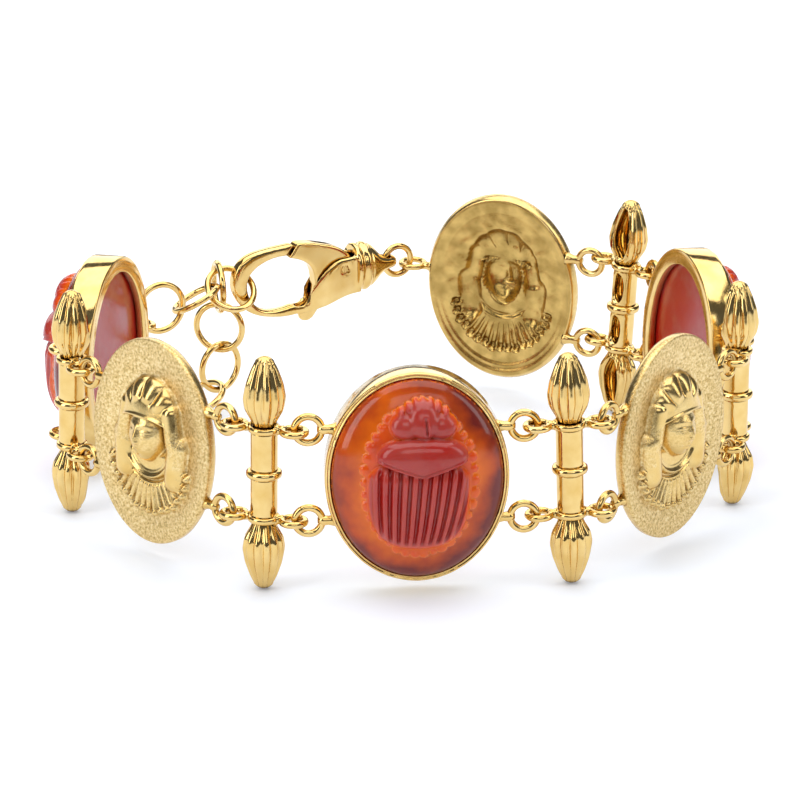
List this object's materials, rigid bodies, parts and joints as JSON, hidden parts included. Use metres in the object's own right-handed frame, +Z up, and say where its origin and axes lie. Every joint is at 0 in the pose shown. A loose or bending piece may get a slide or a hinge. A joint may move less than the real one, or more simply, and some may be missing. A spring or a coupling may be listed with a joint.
{
  "type": "scarab bracelet",
  "caption": "Linked bracelet of carved scarab stones in oval settings and headcloth medallions, joined by lotus-bud spacer bars, with a sprung clasp and a chain for its length.",
  "frame": {"origin": "on the surface it rests on, under the middle of the loop's bounding box", "axes": "+Z up along the axis of the wrist, -Y out of the front scarab, +X to its right as seen from the front"},
  "size_m": [0.0722, 0.0666, 0.0234],
  "materials": {
    "gold": "polished and sandblasted yellow gold finish",
    "carnelian": "polished translucent orange-red stone"
  },
  "bodies": {
    "bracelet": {"bud_bar_1": "gold", "bud_bar_2": "gold", "bud_bar_3": "gold", "bud_bar_4": "gold", "bud_bar_5": "gold", "chain_ring_1": "gold", "chain_ring_2": "gold", "chain_ring_3": "gold", "chain_ring_4": "gold", "chain_ring_5": "gold", "chain_ring_6": "gold", "chain_ring_7": "gold", "clasp_body": "gold", "clasp_pin": "gold", "clasp_ring": "gold", "medallion_1": "gold", "medallion_2": "gold", "medallion_3": "gold", "scarab_setting_1": "gold", "scarab_setting_2": "gold", "scarab_setting_3": "gold", "scarab_stone_1": "carnelian", "scarab_stone_2": "carnelian", "scarab_stone_3": "carnelian"},
    "lever": {"clasp_lever": "gold"}
  },
  "joints": [
    {"name": "lever_hinge", "type": "hinge", "parent": "bracelet", "child": "lever", "pos_m": [-0.0049, 0.02815, 0.01427], "axis": [0.4102, -0.912, 0], "range_deg": [0, 24], "stiffness_Nm_per_rad": 0.008, "springref_deg": -34.38}
  ]
}
